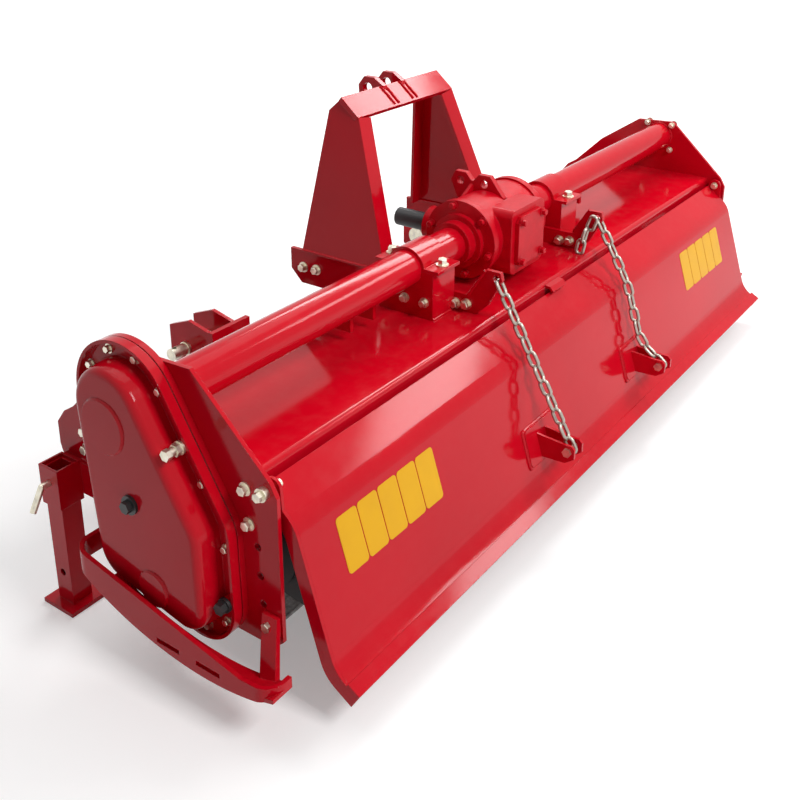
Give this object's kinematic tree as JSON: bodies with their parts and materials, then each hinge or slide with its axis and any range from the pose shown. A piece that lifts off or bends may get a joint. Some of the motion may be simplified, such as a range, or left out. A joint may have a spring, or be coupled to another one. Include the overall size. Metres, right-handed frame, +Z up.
{
  "type": "rotary tiller",
  "caption": "Tractor-mounted rotary tiller with a side gear case, a bent-tine rotor, a hinged trailing board held by chains, depth skids and parking stands.",
  "frame": {"origin": "on the ground under the middle of the whole machine as it parks on its tines and stands", "axes": "+X to the right looking forward along the tractor, with the gear case at -X; +Y forward to the tractor; +Z up"},
  "size_m": [2.1364, 0.885, 0.814],
  "materials": {
    "red_paint": "gloss red enamel",
    "bare_steel": "bright turned steel",
    "black_plastic": "black plastic",
    "seal": "dark gasket",
    "zinc": "yellowish zinc plate",
    "tine_steel": "satin black paint, worn at the tips"
  },
  "bodies": {
    "frame": {"side_plate_left": "red_paint", "side_plate_right": "red_paint", "main_tube_left": "red_paint", "main_tube_right": "red_paint", "gearbox_housing": "red_paint", "gearbox_bearing_caps": "red_paint", "gearbox_rear_cover": "red_paint", "gearbox_lug": "red_paint", "gear_case_body": "red_paint", "gear_case_gasket": "seal", "gear_case_cover": "red_paint", "deck": "red_paint", "chain_arm_left": "red_paint", "clamp_block_left": "red_paint", "tube_clamp_left": "red_paint", "chain_arm_right": "red_paint", "clamp_block_right": "red_paint", "tube_clamp_right": "red_paint", "mast_panel_left": "red_paint", "mast_panel_right": "red_paint", "mast_cross_plate": "red_paint", "top_link_ears": "red_paint", "hitch_bracket_left": "red_paint", "hitch_pin_left": "zinc", "hitch_bracket_right": "red_paint", "hitch_pin_right": "zinc", "skid_left": "red_paint", "skid_right": "red_paint", "rotor_bearing_housing": "red_paint", "tube_end_flange": "red_paint", "hinge_bolts": "zinc", "deck_tab": "red_paint", "stand_sleeve_left": "red_paint", "stand_pin_left": "zinc", "stand_sleeve_right": "red_paint", "stand_pin_right": "zinc", "chain_left": "zinc", "chain_right": "zinc", "level_plug": "black_plastic", "drain_plug": "black_plastic", "filler_bolt": "zinc"},
    "rotor": {"rotor": "tine_steel"},
    "input": {"input_shaft": "bare_steel", "input_cap": "black_plastic"},
    "board": {"board_sheet": "red_paint", "board_end_plates": "red_paint", "board_bottom_strip": "red_paint", "chain_brackets": "red_paint", "chain_bolts": "zinc"},
    "stand_leg_left": {"stand_leg_left": "red_paint"},
    "stand_leg_right": {"stand_leg_right": "red_paint"}
  },
  "joints": [
    {"name": "rotor_spin", "type": "hinge", "parent": "frame", "child": "rotor", "pos_m": [0, -0.1325, 0.195], "axis": [1, 0, 0], "continuous": true},
    {"name": "input_spin", "type": "hinge", "parent": "frame", "child": "input", "pos_m": [-0.02, -0.0775, 0.48], "axis": [0, 1, 0], "continuous": true},
    {"name": "board_hinge", "type": "hinge", "parent": "frame", "child": "board", "pos_m": [0, -0.2635, 0.388], "axis": [-1, 0, 0], "range_deg": [0, 60], "deforming": ["chain_left", "chain_right"]},
    {"name": "stand_left_slide", "type": "slide", "parent": "frame", "child": "stand_leg_left", "axis": [0, 0, 1], "range_m": [0, 0.19]},
    {"name": "stand_right_slide", "type": "slide", "parent": "frame", "child": "stand_leg_right", "axis": [0, 0, 1], "range_m": [0, 0.19]}
  ],
  "couplings": [
    {"joint": "input_spin", "follows": "rotor_spin", "ratio": 2.45}
  ]
}
